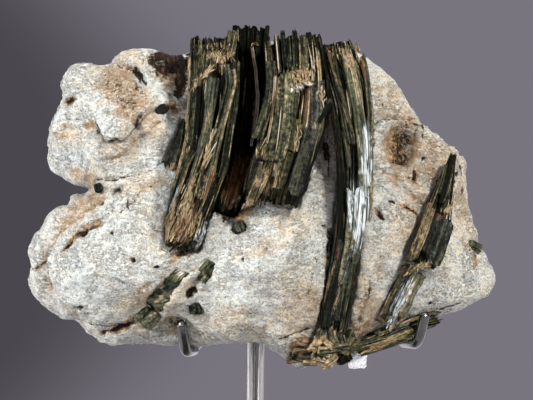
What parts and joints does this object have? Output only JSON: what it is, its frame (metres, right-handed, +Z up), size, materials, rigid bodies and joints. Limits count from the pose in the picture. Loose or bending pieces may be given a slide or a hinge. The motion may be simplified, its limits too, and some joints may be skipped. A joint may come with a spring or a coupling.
{
  "type": "actinolite crystal specimen on a display stand",
  "caption": "Lump of pale talc schist crossed by sheaves of long dark green bladed crystals, held upright by bent steel rods on a flat base plate.",
  "frame": {"origin": "middle of the base plate's underside", "axes": "+Z up; -Y is the front, the side that shows the crystals; +X to the right seen from the front"},
  "size_m": [0.282, 0.1217, 0.2863],
  "materials": {
    "schist": "rough, pale grey-white with cream and rust stains",
    "actinolite": "satin to glassy, fibrous dark green with tan and gold streaks",
    "white_talc": "matt white",
    "steel_rod": "bright drawn steel",
    "sleeve": "thin grey heat-shrink tube, slightly glossy",
    "base": "satin black paint"
  },
  "bodies": {
    "root": {"schist_matrix": "schist", "middle_crystal_sheaf": "actinolite", "left_crystal_sheaf": "actinolite", "right_crystal_sheaf": "actinolite", "recessed_crystal_sheaf": "actinolite", "slanted_crystal_upper": "actinolite", "slanted_crystal_lower": "actinolite", "edge_crystal_band": "actinolite", "foot_crystal_cluster": "actinolite", "side_blade_crystal": "actinolite", "needle_crystal": "actinolite", "channel_crystal_upper": "actinolite", "channel_crystal_middle": "actinolite", "channel_crystal_lower": "actinolite", "branch_crystal": "actinolite", "square_crystal": "actinolite", "pocket_crystal": "actinolite", "notch_crystal": "actinolite", "rim_crystal": "actinolite", "shelf_crystal": "actinolite", "pit_crystal": "actinolite", "lower_left_crystal": "actinolite", "white_chip": "white_talc", "left_arm_rod": "steel_rod", "right_arm_rod": "steel_rod", "back_rest_rod": "steel_rod", "left_hook_sleeve": "sleeve", "right_hook_sleeve": "sleeve", "base_plate": "base"}
  },
  "joints": []
}
